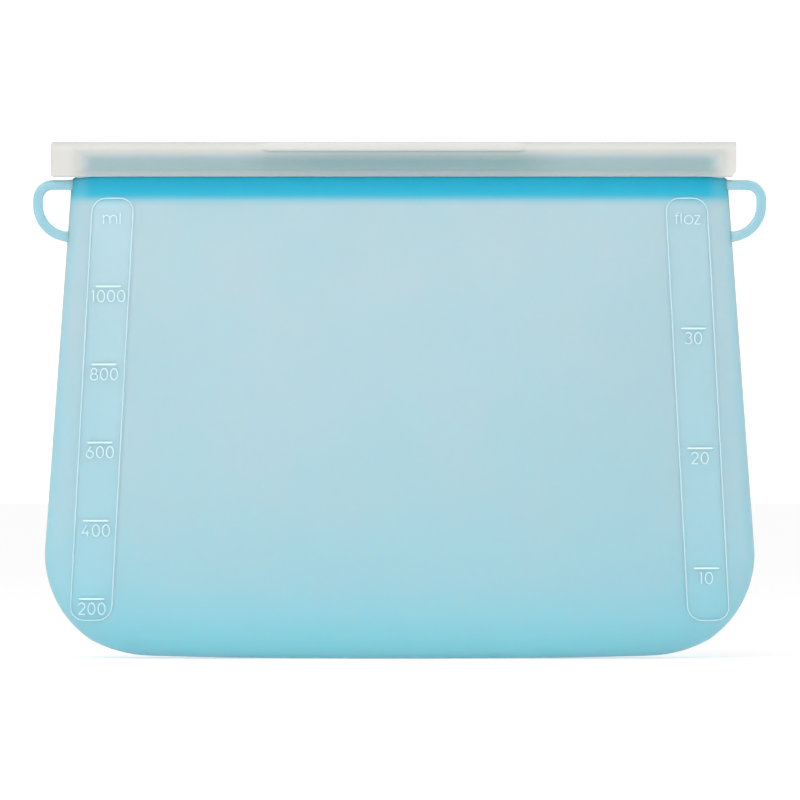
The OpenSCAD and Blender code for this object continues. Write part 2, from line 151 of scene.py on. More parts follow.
def pouch_half(name, side):
    """One half of the pouch as a closed shell; side is -1 for the front and 1 for the back."""
    cols = 128
    u = np.sin(np.linspace(-1, 1, cols + 1) * math.pi / 2)
    base = np.linspace(0, 1, 9)[:-1]
    foot = FOOT_Z * (1 - np.cos(np.linspace(0, 1, 15) * math.pi / 2))
    swell_z = BAND_Z - SWELL_H
    rise = np.linspace(FOOT_Z, swell_z, 70)[1:]
    band = np.linspace(swell_z, RIM_TOP - LIP_ROUND, 26)[1:]
    turn = np.linspace(0, 1, 6)[1:] * math.pi / 2
    # Each row: its share of the foot's depth, its height, and how much its lip is rounded off
    rows = [(k, 0.0, 0.0) for k in base] + [(1.0, z, 0.0) for z in [*foot, *rise, *band]]
    rows += [(1.0, RIM_TOP - LIP_ROUND + LIP_ROUND * math.sin(a), LIP_ROUND * (1 - math.cos(a)))
             for a in turn]
    base_half = 0.088
    outer, inner = [], []
    for k, z, cut in rows:
        width = float(half_width(np.float64(z)))
        near_top = np.clip((z - (RIM_TOP - MOUTH_CORNER)) / MOUTH_CORNER, 0, 1)
        width -= MOUTH_CORNER * (1 - math.sqrt(1 - near_top**2))
        crown = BASE_CROWN * (u * width / base_half) ** 2 * np.clip(1 - z / CROWN_FADE_H, 0, 1)
        depth = half_depth(np.float64(z)) * depth_share(u, z) * k
        lip = np.maximum(depth - cut, LIP_Y)
        outer.append(np.stack([u * width, side * np.where(depth > 0, lip, 0), z + crown], 1))
        z_in = FLOOR + z * (1 - FLOOR / FLOOR_BLEND_H) if z < FLOOR_BLEND_H else z
        width_in = max(width - EDGE, 0.001)
        thick = (half_depth(np.float64(max(z_in, z))) - WALL) * depth_share(u, z) * k
        closed = smooth((z - (BAND_Z - CLOSE_DROP)) / CLOSE_H)
        depth_in = thick * (1 - closed) + LIP_Y * closed * (np.abs(u) < 1)
        inner.append(np.stack([u * width_in, side * depth_in, z_in + crown], 1))
    points = np.concatenate([np.array(outer).reshape(-1, 3), np.array(inner).reshape(-1, 3)])
    points[:, 1] += side * PARTING_GAP
    n, m = cols + 1, len(rows)
    shift = n * m
    faces = []

    def quad(a, b, c, d):
        faces.append((a, b, c, d) if side < 0 else (d, c, b, a))

    for r in range(m - 1):
        for c in range(cols):
            a = r * n + c
            quad(a, a + 1, a + n + 1, a + n)
            quad(shift + a + n, shift + a + n + 1, shift + a + 1, shift + a)
        left, right = r * n, r * n + cols
        quad(shift + left, left, left + n, shift + left + n)
        quad(right, shift + right, shift + right + n, right + n)
    for c in range(cols):
        top = (m - 1) * n + c
        quad(top, top + 1, shift + top + 1, shift + top)
        quad(shift + c, shift + c + 1, c + 1, c)
    mesh = bpy.data.meshes.new(name)
    mesh.from_pydata(points.tolist(), [], faces)
    half = bpy.data.objects.new(name, mesh)
    bpy.context.collection.objects.link(half)
    x, y, z = points.T
    rim = smooth((np.abs(x) - (half_width(z) - RIM_SHADE_W)) / RIM_SHADE_FADE)
    ends = 1 - smooth((np.abs(x) - (MOUTH_HALF - BAND_END_W)) / BAND_END_FADE)
    band = np.interp(z, BAND_RISE, BAND_SHARE) * (BAND_END_SHARE + (1 - BAND_END_SHARE) * ends)
    low = np.interp(z, FOOT_RISE, FOOT_SHARE)
    store_mould_marks(half, x, z, np.clip(low + RIM_SHADE * rim * (1 - low), 0, 1), band)
    return half


def store_mould_marks(piece, x, z, thick, band):
    """Keeps where each point was moulded, so that finishes stay with the silicone's own points."""
    data = piece.data
    marks = {"across": x, "up": z, "thick": thick, "band": band}
    for key, values in marks.items():
        attribute = data.attributes.new(key, "FLOAT", "POINT")
        attribute.data.foreach_set("value", np.asarray(values, np.float32))
    data.shade_smooth()
    data.set_sharp_from_angle(angle=math.radians(50))


def bend_with_mouth(piece):
    """Bakes the piece's placement into its points."""
    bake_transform(piece)


# Gauge windows: their place on the front half, shared by the finish, the outlines and the figures
WINDOW_W = 0.0138
WINDOW_R = 0.0046
ml_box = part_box("ml_gauge_panel")
WINDOW_TOP = ml_box[1].z
WINDOW_FOOT = ml_box[0].z
WINDOW_X = 0.0957
WINDOW_LEAN = 0.0526


def window_x(z):
    """Distance of a window's middle line from the middle of the pouch."""
    return WINDOW_X + WINDOW_LEAN * (WINDOW_TOP - WINDOW_R - z)


class Nodes:
    """Short way to place and join shader nodes."""

    def __init__(self, name):
        self.material = bpy.data.materials.new(name)
        self.material.use_nodes = True
        self.tree = self.material.node_tree
        self.shader = self.tree.nodes["Principled BSDF"]

    def add(self, kind, inputs=(), **settings):
        node = self.tree.nodes.new(kind)
        for key, value in settings.items():
            setattr(node, key, value)
        for key, value in dict(inputs).items():
            self.join(value, node.inputs[key])
        return node

    def join(self, value, socket):
        if isinstance(value, bpy.types.NodeSocket):
            self.tree.links.new(value, socket)
        else:
            socket.default_value = value

    def math(self, operation, a, b=0.0, clamp=False):
        return self.add("ShaderNodeMath", {0: a, 1: b}, operation=operation, use_clamp=clamp).outputs[0]

    def attribute(self, name):
        return self.add("ShaderNodeAttribute", attribute_name=name).outputs["Fac"]

    def mix(self, share, a, b):
        node = self.add("ShaderNodeMix", data_type="RGBA")
        self.join(share, node.inputs["Factor"])
        self.join(a, node.inputs["A"])
        self.join(b, node.inputs["B"])
        return node.outputs["Result"]

    def remap(self, value, low, high, to_low=0.0, to_high=1.0):
        node = self.add("ShaderNodeMapRange", {"Value": value, "From Min": low, "From Max": high,
                                               "To Min": to_low, "To Max": to_high}, clamp=True)
        node.interpolation_type = "SMOOTHSTEP"
        return node.outputs[0]


def frosted_grain():
    """Node group: the fine spark-eroded grain of a frosted mould, as a value and as a height."""
    group = bpy.data.node_groups.new("frosted grain", "ShaderNodeTree")
    for key, value in (("Grain", 5200.0), ("Cloud", 38.0)):
        socket = group.interface.new_socket(key, in_out="INPUT", socket_type="NodeSocketFloat")
        socket.default_value = value
    group.interface.new_socket("Height", in_out="OUTPUT", socket_type="NodeSocketFloat")
    group.interface.new_socket("Cloudiness", in_out="OUTPUT", socket_type="NodeSocketFloat")
    start = group.nodes.new("NodeGroupInput")
    end = group.nodes.new("NodeGroupOutput")
    place = group.nodes.new("ShaderNodeTexCoord")
    fine = group.nodes.new("ShaderNodeTexNoise")
    fine.inputs["Detail"].default_value = 2
    cloud = group.nodes.new("ShaderNodeTexNoise")
    cloud.inputs["Detail"].default_value = 3
    for noise, scale, out in ((fine, "Grain", "Height"), (cloud, "Cloud", "Cloudiness")):
        group.links.new(place.outputs["Object"], noise.inputs["Vector"])
        group.links.new(start.outputs[scale], noise.inputs["Scale"])
        group.links.new(noise.outputs["Fac"], end.inputs[out])
    return group


grain = frosted_grain()


def silicone_finish():
    n = Nodes("frosted_cyan_silicone")
    frosting = n.add("ShaderNodeGroup", node_tree=grain)
    across, up = n.attribute("across"), n.attribute("up")
    thick, band = n.attribute("thick"), n.attribute("band")
    # Rounded box around each leaning window: 1 inside, 0 outside
    lean = n.math("MULTIPLY", n.math("SUBTRACT", WINDOW_TOP - WINDOW_R, up), WINDOW_LEAN)
    middle = n.math("ADD", lean, WINDOW_X)
    off_x = n.math("ABSOLUTE", n.math("SUBTRACT", n.math("ABSOLUTE", across), middle))
    off_z = n.math("ABSOLUTE", n.math("SUBTRACT", up, (WINDOW_TOP + WINDOW_FOOT) / 2))
    past_x = n.math("MAXIMUM", n.math("SUBTRACT", off_x, WINDOW_W / 2 - WINDOW_R), 0.0)
    straight = (WINDOW_TOP - WINDOW_FOOT) / 2 - WINDOW_R
    past_z = n.math("MAXIMUM", n.math("SUBTRACT", off_z, straight), 0.0)
    reach = n.math("SQRT", n.math("ADD", n.math("POWER", past_x, 2.0), n.math("POWER", past_z, 2.0)))
    window = n.math("LESS_THAN", reach, WINDOW_R)
    window = n.math("MULTIPLY", window, n.attribute("front"))
    clouds = n.remap(frosting.outputs["Cloudiness"], 0.3, 0.7)
    frosted = n.mix(clouds, (0.51, 0.71, 0.79, 1), (0.545, 0.705, 0.78, 1))
    plain = n.mix(window, frosted, (0.52, 0.74, 0.85, 1))
    deep = n.mix(thick, plain, (0.275, 0.73, 0.88, 1))
    # The band's own deep cyan, darkened towards its top by painted shade from the bar above
    band_cyan_and_shade = n.mix(n.remap(up, *BAND_SHADE_RISE), (0.002, 0.56, 0.75, 1), (0.001, 0.47, 0.66, 1))
    colour = n.mix(band, deep, band_cyan_and_shade)
    n.join(colour, n.shader.inputs["Base Color"])
    rough = n.remap(window, 0.0, 1.0, 0.40, 0.26)
    n.join(rough, n.shader.inputs["Roughness"])
    height = n.math("MULTIPLY", frosting.outputs["Height"], n.math("SUBTRACT", 1.0, window))
    bump = n.add("ShaderNodeBump", {"Strength": 0.12, "Distance": 0.0001, "Height": height})
    n.join(bump.outputs["Normal"], n.shader.inputs["Normal"])
    n.shader.inputs["IOR"].default_value = 1.41
    n.shader.inputs["Specular IOR Level"].default_value = 0.15
    n.shader.inputs["Transmission Weight"].default_value = 0.35
    n.shader.inputs["Subsurface Weight"].default_value = 1.0
    n.shader.inputs["Subsurface Radius"].default_value = (0.6, 0.9, 1.0)
    n.shader.inputs["Subsurface Scale"].default_value = 0.004
    return n.material


silicone = silicone_finish()
for side, word in ((-1, "front"), (1, "back")):
    half = pouch_half(f"pouch_{word}_half", side)
    mark = half.data.attributes.new("front", "FLOAT", "POINT")
    mark.data.foreach_set("value", np.full(len(half.data.vertices), side < 0, np.float32))
    half.data.materials.append(silicone)
    bend_with_mouth(half)
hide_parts("front_wall", "front_mouth_band", "base_tray",
            "left_edge_rim", "right_edge_rim")
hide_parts("back_wall", "back_mouth_band")


# Sealing beads
# Each wall ends above its band in a thin neck and a round-topped bead, moulded on in the same silicone.
# The bar's channel closes over the two beads and presses them together.

bead_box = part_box("front_sealing_bead")
NECK_Y = 0.00145
NECK_FOOT_Z = RIM_TOP - 0.0003
BEAD_Z = band_box[1].z + 0.0033
BEAD_CHAMFER = 0.0003
BEAD_CROWN = 0.00145
BEAD_HALF = bead_box[1].x + 0.0015

# Heights between which the neck, then the ridge of the bead, change colour, and the length of the pale ends
NECK_TONE = (0.1605, 0.1632)
RIDGE_TONE = (0.1655, 0.1700)
END_TONE_W = 0.0060


def bead_profile():
    """Points [y, z] of one bead and its neck, counter-clockwise, for the back wall."""
    deep, top = bead_box[1].z - BEAD_CROWN, -bead_box[0].y
    mid = (top + LIP_Y) / 2
    arc = [(mid + (top - mid) * math.cos(a), deep + (top - mid) * math.sin(a))
           for a in np.linspace(0, math.pi, 13)]
    cut = BEAD_CHAMFER
    return [(LIP_Y, NECK_FOOT_Z), (NECK_Y, NECK_FOOT_Z), (NECK_Y, BEAD_Z - cut), (NECK_Y + cut, BEAD_Z),
            (top - cut, BEAD_Z), (top, BEAD_Z + cut), *arc]


def swept_piece(name, profile, stations, side):
    """A closed length of one profile, drawn along X through the stations; side is -1 for the front."""
    n = len(profile)
    points, faces = [], []
    for x in stations:
        points += [(x, side * y, z) for y, z in profile]
    for i in range(len(stations) - 1):
        for j in range(n):
            a, b = i * n + j, i * n + (j + 1) % n
            faces.append((a, b, b + n, a + n) if side > 0 else (a + n, b + n, b, a))
    first, last = list(range(n)), list(range((len(stations) - 1) * n, len(stations) * n))
    faces += [first[::-1], last] if side > 0 else [first, last[::-1]]
    mesh = bpy.data.meshes.new(name)
    mesh.from_pydata(points, [], faces)
    piece = bpy.data.objects.new(name, mesh)
    bpy.context.collection.objects.link(piece)
    return piece


def bead_finish():
    n = Nodes("deep_cyan_silicone")
    frosting = n.add("ShaderNodeGroup", node_tree=grain)
    clouds = n.remap(frosting.outputs["Cloudiness"], 0.3, 0.7)
    deep = n.mix(clouds, (0.03, 0.28, 0.33, 1), (0.06, 0.30, 0.35, 1))
    neck = n.mix(n.remap(n.attribute("up"), *NECK_TONE), (0.20, 0.62, 0.78, 1), deep)
    ridge = n.mix(n.remap(n.attribute("up"), *RIDGE_TONE), neck, (0.66, 0.74, 0.72, 1))
    ends = n.remap(n.math("ABSOLUTE", n.attribute("across")), BEAD_HALF - END_TONE_W, BEAD_HALF)
    n.join(n.mix(ends, ridge, (0.55, 0.68, 0.70, 1)), n.shader.inputs["Base Color"])
    height = frosting.outputs["Height"]
    bump = n.add("ShaderNodeBump", {"Strength": 0.1, "Distance": 0.0001, "Height": height})
    n.join(bump.outputs["Normal"], n.shader.inputs["Normal"])
    n.shader.inputs["Roughness"].default_value = 0.3
    n.shader.inputs["IOR"].default_value = 1.41
    n.shader.inputs["Subsurface Weight"].default_value = 0.6
    n.shader.inputs["Subsurface Scale"].default_value = 0.002
    return n.material


bead_silicone = bead_finish()
for side, word in ((-1, "front"), (1, "back")):
    bead = swept_piece(f"{word}_bead", bead_profile(), np.linspace(-BEAD_HALF, BEAD_HALF, 97), side)
    places = np.array([v.co for v in bead.data.vertices])
    store_mould_marks(bead, places[:, 0], places[:, 2], 0 * places[:, 0], 0 * places[:, 0])
    bead.data.materials.append(bead_silicone)
    bend_with_mouth(bead)
    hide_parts(f"{word}_sealing_bead")


# Gauge windows and figures
# The mould leaves a fine raised line around each polished window, and raised rounded strokes for the unit,
# the graduation lines and their plain numbers. Every stroke is a curve laid on the wall and given a round
# section by Geometry Nodes.

LINE_R = 0.00027
STROKE_R = 0.00022
STROKE_STEP = 0.0004
STROKE_LIFT = 0.25
STROKE_END = 0.72
TICK_R = 0.00038
TICK_HALF = 0.0042
FIGURE_H = 0.00377
UNIT_DROP = 0.0086
NUMBER_DROP = 0.00513
OUTLINE_STEP = 0.003


def on_front(x, z, lift):
    """A point on the front wall's outer face, lifted off it along its normal."""
    step = 0.0002
    slope_x = (wall_depth(x + step, z) - wall_depth(x - step, z)) / (2 * step)
    slope_z = (wall_depth(x, z + step) - wall_depth(x, z - step)) / (2 * step)
    normal = np.array([-slope_x, -1.0, -slope_z])
    normal /= np.linalg.norm(normal)
    return np.array([x, -float(wall_depth(x, z)), z]) + lift * normal


def stroke_tree():
    """Geometry Nodes tree: gives each curve a round section of its own points' radius, with closed ends."""
    tree = bpy.data.node_groups.new("moulded stroke", "GeometryNodeTree")
    tree.interface.new_socket("Geometry", in_out="INPUT", socket_type="NodeSocketGeometry")
    sides = tree.interface.new_socket("Sides", in_out="INPUT", socket_type="NodeSocketInt")
    sides.default_value = 10
    tree.interface.new_socket("Finish", in_out="INPUT", socket_type="NodeSocketMaterial")
    tree.interface.new_socket("Geometry", in_out="OUTPUT", socket_type="NodeSocketGeometry")
    start, end = tree.nodes.new("NodeGroupInput"), tree.nodes.new("NodeGroupOutput")
    circle = tree.nodes.new("GeometryNodeCurvePrimitiveCircle")
    circle.inputs["Radius"].default_value = 1.0
    sweep = tree.nodes.new("GeometryNodeCurveToMesh")
    sweep.inputs["Fill Caps"].default_value = True
    radius = tree.nodes.new("GeometryNodeInputRadius")
    real = tree.nodes.new("GeometryNodeRealizeInstances")
    paint = tree.nodes.new("GeometryNodeSetMaterial")
    smooth_faces = tree.nodes.new("GeometryNodeSetShadeSmooth")
    tree.links.new(start.outputs["Sides"], circle.inputs["Resolution"])
    tree.links.new(start.outputs["Geometry"], sweep.inputs["Curve"])
    tree.links.new(circle.outputs["Curve"], sweep.inputs["Profile Curve"])
    if "Scale" in sweep.inputs:
        tree.links.new(radius.outputs["Radius"], sweep.inputs["Scale"])
    tree.links.new(sweep.outputs["Mesh"], smooth_faces.inputs["Geometry"])
    tree.links.new(smooth_faces.outputs["Geometry"], real.inputs["Geometry"])
    tree.links.new(real.outputs["Geometry"], paint.inputs["Geometry"])
    tree.links.new(start.outputs["Finish"], paint.inputs["Material"])
    tree.links.new(paint.outputs["Geometry"], end.inputs["Geometry"])
    return tree


strokes_tree = stroke_tree()


def moulded_strokes(name, lines, finish):
    """One mesh piece from lines of (points [x, z], radius, closed) laid on the front wall."""
    curve = bpy.data.curves.new(name + "_lines", "CURVE")
    curve.dimensions = "3D"
    for points, radius, closed in lines:
        spline = curve.splines.new("POLY")
        spline.points.add(len(points) - 1)
        spline.use_cyclic_u = closed
        for i, (x, z) in enumerate(points):
            spline.points[i].co = (*on_front(x, z, radius * STROKE_LIFT), 1)
            end_cap = not closed and i in (0, len(points) - 1)
            spline.points[i].radius = radius * (STROKE_END if end_cap else 1.0)
    drawn = bpy.data.objects.new(name + "_lines", curve)
    bpy.context.collection.objects.link(drawn)
    modifier = drawn.modifiers.new("moulded stroke", "NODES")
    modifier.node_group = strokes_tree
    for item in strokes_tree.interface.items_tree:
        if item.in_out == "INPUT" and item.name == "Finish":
            modifier[item.identifier] = finish
    bpy.context.view_layer.update()
    shaped = drawn.evaluated_get(bpy.context.evaluated_depsgraph_get())
    mesh = bpy.data.meshes.new_from_object(shaped)
    bpy.data.objects.remove(drawn)
    piece = bpy.data.objects.new(name, mesh)
    bpy.context.collection.objects.link(piece)
    return piece


def window_outline(side):
    """Points of a window's rounded, leaning outline."""
    points = []
    corners = [(1, 1, 0), (-1, 1, 90), (-1, -1, 180), (1, -1, 270)]
    for sx, sz, start in corners:
        for a in np.radians(np.linspace(start, start + 90, 9)):
            dx = sx * (WINDOW_W / 2 - WINDOW_R) + WINDOW_R * math.cos(a)
            z = (WINDOW_TOP - WINDOW_R if sz > 0 else WINDOW_FOOT + WINDOW_R) + WINDOW_R * math.sin(a)
            points.append((dx, z))
    dense = []
    for (xa, za), (xb, zb) in zip(points, points[1:] + points[:1]):
        steps = max(1, int(abs(zb - za) / OUTLINE_STEP))
        dense += [(xa + (xb - xa) * i / steps, za + (zb - za) * i / steps) for i in range(steps)]
    return [(side * window_x(z) + dx, z) for dx, z in dense]


def bow(cx, cz, rx, rz, start, end, n):
    """Part of an ellipse in a character's box."""
    return [(cx + rx * math.cos(a), cz + rz * math.sin(a))
            for a in np.radians(np.linspace(start, end, n + 1))]


def ring(cx, cz, rx, rz, n=28):
    return bow(cx, cz, rx, rz, 0, 360, n)[:-1]


# Each character in figure heights: its width, the gap after it, its open lines and its closed lines
CHARACTERS = {
    "0": (0.62, 0.27, [], [ring(0.31, 0.5, 0.31, 0.5)]),
    "1": (0.13, 0.36, [[(0.0, 0.90), (0.13, 1.0), (0.13, 0.0)]], []),
    "2": (0.60, 0.27, [bow(0.3, 0.71, 0.28, 0.29, 165, -38, 14) + [(0.02, 0.0), (0.60, 0.0)]], []),
    "3": (0.62, 0.23, [bow(0.29, 0.765, 0.25, 0.235, 150, -88, 12),
                       bow(0.29, 0.27, 0.31, 0.27, 88, -155, 14)], []),
    "4": (0.66, 0.27, [[(0.43, 1.0), (0.0, 0.28), (0.66, 0.28)], [(0.48, 0.52), (0.48, 0.0)]], []),
    "6": (0.62, 0.27, [[(0.42, 1.0), (0.05, 0.46)]], [ring(0.31, 0.31, 0.31, 0.31)]),
    "8": (0.62, 0.27, [], [ring(0.31, 0.765, 0.235, 0.235, 22), ring(0.31, 0.265, 0.31, 0.265)]),
    "m": (1.167, 0.305, [[(0, 0), (0, 0.78)], bow(0.292, 0.46, 0.292, 0.30, 170, 0, 12) + [(0.584, 0)],
                         bow(0.876, 0.46, 0.291, 0.30, 180, 0, 12) + [(1.167, 0)]], []),
    "l": (0.0, 0.29, [[(0, 0), (0, 1)]], []),
    "f": (0.41, 0.14, [bow(0.32, 0.82, 0.18, 0.18, 60, 180, 8) + [(0.14, 0)],
                       [(0, 0.75), (0.38, 0.75)]], []),
    "o": (0.75, 0.12, [], [ring(0.375, 0.375, 0.375, 0.375)]),
    "z": (0.54, 0.27, [[(0, 0.75), (0.50, 0.75), (0.04, 0.0), (0.54, 0.0)]], []),
}


def filled_in(line):
    """The same line with more points, so that a stroke keeps its width up to a sharp corner."""
    dense = [line[0]]
    for (xa, za), (xb, zb) in zip(line, line[1:]):
        steps = math.ceil(math.hypot(xb - xa, zb - za) / STROKE_STEP)
        dense += [(xa + (xb - xa) * i / steps, za + (zb - za) * i / steps) for i in range(1, steps + 1)]
    return dense


def word_lines(word, middle, foot):
    """Lines of a word centred on middle, with its feet at the height foot."""
    wide = sum(sum(CHARACTERS[c][:2]) for c in word) - CHARACTERS[word[-1]][1]
    left = -wide / 2
    lines = []
    for c in word:
        width, gap, open_lines, closed_lines = CHARACTERS[c]
        for group, closed in ((open_lines, False), (closed_lines, True)):
            for line in group:
                placed = [(middle + (left + px) * FIGURE_H, foot + pz * FIGURE_H) for px, pz in line]
                lines.append((placed if closed else filled_in(placed), STROKE_R, closed))
        left += width + gap
    return lines


def tick_line(middle, z):
    return [(middle - TICK_HALF + 2 * TICK_HALF * i / 12, z) for i in range(13)]


def gauge_lines(side, unit, low, step, first, count):
    """Lines of one gauge: its unit, then count graduation lines with a number under each."""
    unit_z = WINDOW_TOP - UNIT_DROP
    lines = word_lines(unit, side * window_x(unit_z), unit_z)
    for i in range(count):
        z = low + i * step
        middle = side * window_x(z)
        lines.append((tick_line(middle, z), TICK_R, False))
        lines += word_lines(str(first * (i + 1)), middle, z - NUMBER_DROP)
    return lines


def polished_silicone(name, dull, bright):
    n = Nodes(name)
    frosting = n.add("ShaderNodeGroup", node_tree=grain)
    clouds = n.remap(frosting.outputs["Cloudiness"], 0.3, 0.7)
    n.join(n.mix(clouds, dull, bright), n.shader.inputs["Base Color"])
    n.shader.inputs["Roughness"].default_value = 0.24
    n.shader.inputs["IOR"].default_value = 1.41
    n.shader.inputs["Transmission Weight"].default_value = 0.15
    n.shader.inputs["Subsurface Weight"].default_value = 0.4
    n.shader.inputs["Subsurface Scale"].default_value = 0.001
    return n.material


outline_silicone = polished_silicone("polished_outline_silicone",
                                     (0.50, 0.71, 0.79, 1), (0.53, 0.73, 0.81, 1))
figure_silicone = polished_silicone("polished_figure_silicone",
                                    (0.63, 0.85, 0.90, 1), (0.67, 0.87, 0.92, 1))
gauges = (
    (-1, "ml", gauge_lines(-1, "ml", low=0.0198, step=0.026, first=200, count=5)),
    (1, "floz", gauge_lines(1, "floz", low=0.0300, step=0.0399, first=10, count=3)),
)
for side, unit, lines in gauges:
    outline = moulded_strokes(f"{unit}_window_outline", [(window_outline(side), LINE_R, True)],
                              outline_silicone)
    figures = moulded_strokes(f"{unit}_figures", lines, figure_silicone)
    for piece, slot, node in ((outline, "gauge_silicone", "panel"),
                              (figures, "figure_silicone", "figures")):
        bend_with_mouth(piece)
        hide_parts(f"{unit}_gauge_{node}")


# Hanging loops
# A flat strap with rounded edges springs from each edge of the pouch below the bar, in the same moulding.
# Its top runs level, its outer corner is tight and its lower side sweeps back into the edge.

LOOP_W = 0.0033
LOOP_T = 0.0026
LOOP_CORNER = 0.0065
LOOP_CURVE_OUT = 0.0007
LOOP_ROUND = 0.0009

# How deep the strap runs into the edge, and how it thins and widens there
ROOT_IN = 0.0012
ROOT_STEP = 0.0011
ROOT_THICKNESS = 0.45
ROOT_FLARE = 0.14
ROOT_FADE = 0.0026


def strap_path(side):
    """Middle line of the strap, from the upper root round to the lower root, as [x, z]."""
    lo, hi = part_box("left_hanging_loop")
    top, foot, out = hi.z - LOOP_W / 2, lo.z + LOOP_W / 2, -lo.x - LOOP_W / 2
    r = LOOP_CORNER - LOOP_W / 2
    sweep = out - MOUTH_HALF - LOOP_CURVE_OUT
    points = [(MOUTH_HALF - ROOT_IN + i * ROOT_STEP, top) for i in range(7)]
    points += [(out - r + r * math.sin(a), top - r + r * math.cos(a))
               for a in np.linspace(0, math.pi / 2, 12)]
    low = foot + sweep
    points += [(out - sweep + sweep * math.cos(a), low - sweep * math.sin(a))
               for a in np.linspace(0, math.pi / 2, 22)]
    points += [(out - sweep - 0.0006, foot), (out - sweep - 0.0013, foot)]
    return [(side * x, z) for x, z in points]


def strap(name, side):
    """The strap as a closed piece: a rounded section carried along its middle line."""
    path = np.array(strap_path(side))
    profile = []
    r = LOOP_ROUND
    for sx, sz, start in ((1, 1, 0), (-1, 1, 90), (-1, -1, 180), (1, -1, 270)):
        for a in np.radians(np.linspace(start, start + 90, 5)):
            profile.append((sx * (LOOP_W / 2 - r) + r * math.cos(a),
                            sz * (LOOP_T / 2 - r) + r * math.sin(a)))
    n = len(profile)
    points, faces = [], []
    for i, (x, z) in enumerate(path):
        d = path[min(i + 1, len(path) - 1)] - path[max(i - 1, 0)]
        d /= np.linalg.norm(d)
        out = abs(x) - float(half_width(np.float64(z)))
        grown = float(smooth(np.float64((out + 0.0009) / ROOT_FADE)))
        slim = ROOT_THICKNESS + (1 - ROOT_THICKNESS) * grown
        flare = 1 + ROOT_FLARE * float(smooth(np.float64((0.0018 - out) / ROOT_FADE)))
        for across, thick in profile:
            points.append((x + d[1] * across * flare, thick * slim, z - d[0] * across * flare))
    for i in range(len(path) - 1):
        for j in range(n):
            a, b = i * n + j, i * n + (j + 1) % n
            faces.append((a, b, b + n, a + n))
    faces += [list(range(n))[::-1], list(range((len(path) - 1) * n, len(path) * n))]
    mesh = bpy.data.meshes.new(name)
    mesh.from_pydata(points, [], faces)
    mesh.validate()
    piece = bpy.data.objects.new(name, mesh)
    bpy.context.collection.objects.link(piece)
    return piece


def turn_outwards(piece):
    """Turns every face of a closed piece to point out."""
    work = bmesh.new()
    work.from_mesh(piece.data)
    bmesh.ops.recalc_face_normals(work, faces=work.faces)
    work.to_mesh(piece.data)
    work.free()


def loop_finish():
    n = Nodes("loop_silicone")
    frosting = n.add("ShaderNodeGroup", node_tree=grain)
    clouds = n.remap(frosting.outputs["Cloudiness"], 0.3, 0.7)
    colour = n.mix(clouds, (0.335, 0.565, 0.635, 1), (0.36, 0.575, 0.645, 1))
    n.join(colour, n.shader.inputs["Base Color"])
    height = frosting.outputs["Height"]
    bump = n.add("ShaderNodeBump", {"Strength": 0.12, "Distance": 0.0001, "Height": height})
    n.join(bump.outputs["Normal"], n.shader.inputs["Normal"])
    n.shader.inputs["Roughness"].default_value = 0.38
    n.shader.inputs["IOR"].default_value = 1.41
    n.shader.inputs["Transmission Weight"].default_value = 0.3
    n.shader.inputs["Subsurface Weight"].default_value = 1.0
    n.shader.inputs["Subsurface Radius"].default_value = (0.6, 0.9, 1.0)
    n.shader.inputs["Subsurface Scale"].default_value = 0.004
    return n.material


loop_silicone = loop_finish()
for side, word in ((-1, "left"), (1, "right")):
    loop = strap(f"{word}_loop_strap", side)
    turn_outwards(loop)
    loop.data.shade_smooth()
    loop.data.set_sharp_from_angle(angle=math.radians(40))
    loop.data.materials.append(loop_silicone)
    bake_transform(loop)
    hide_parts(f"{word}_hanging_loop")


# Seal bar
# One moulding of translucent white polypropylene: a channel open along its foot, closed at the left end,
# with two round upper edges and a ledge along each for thumb and fingers. It is pushed on from one end.

stop_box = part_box("seal_bar_end_stop")
ledge_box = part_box("seal_bar_grip_ledges")
BAR_Y = bar_box[1].y
BAR_X0, BAR_X1 = bar_box[0].x, bar_box[1].x
BAR_Z0, BAR_Z1 = bar_box[0].z, bar_box[1].z
BAR_WALL = 0.0013
BAR_ROOF = 0.0023
BAR_ROUND = 0.0032
BAR_FOOT_ROUND = 0.0004
CAVITY_Y = BAR_Y - BAR_WALL
CAVITY_Z0, CAVITY_Z1 = stop_box[0].z + 0.002, BAR_Z1 - BAR_ROOF
CAVITY_ROUND = 0.0013
SLOT_Y = 0.00175
SLOT_CHAMFER = 0.0002
LEDGE_OUT = ledge_box[1].y - BAR_Y
LEDGE_H = ledge_box[1].z - ledge_box[0].z + 0.0005
LEDGE_EDGE = 0.0005
LEDGE_X0, LEDGE_X1 = ledge_box[0].x, ledge_box[1].x
LEDGE_RAMP = 0.0053
BAR_END_ROUND = 0.0009
LEAD_IN = 0.0015
LEAD_IN_H = 0.0018

# Where the plastic shows denser, from the cavity's roof and the two ends, and over what length that fades
SOLID_TOP = 0.75
SOLID_TOP_DROP = 0.0050
SOLID_TOP_FADE = 0.0066
SOLID_LEFT = 0.0158
SOLID_LEFT_FADE = 0.0130
SOLID_RIGHT = 0.0105
SOLID_RIGHT_FADE = 0.0115

# The ledge shades the bar below it: how far past its ends, and how the shade thins further down
SHADE_BEFORE = 0.008
SHADE_AFTER = 0.014
SHADE_LOSS = 0.55
SHADE_DROP = 0.0070
SHADE_FADE = 0.0040


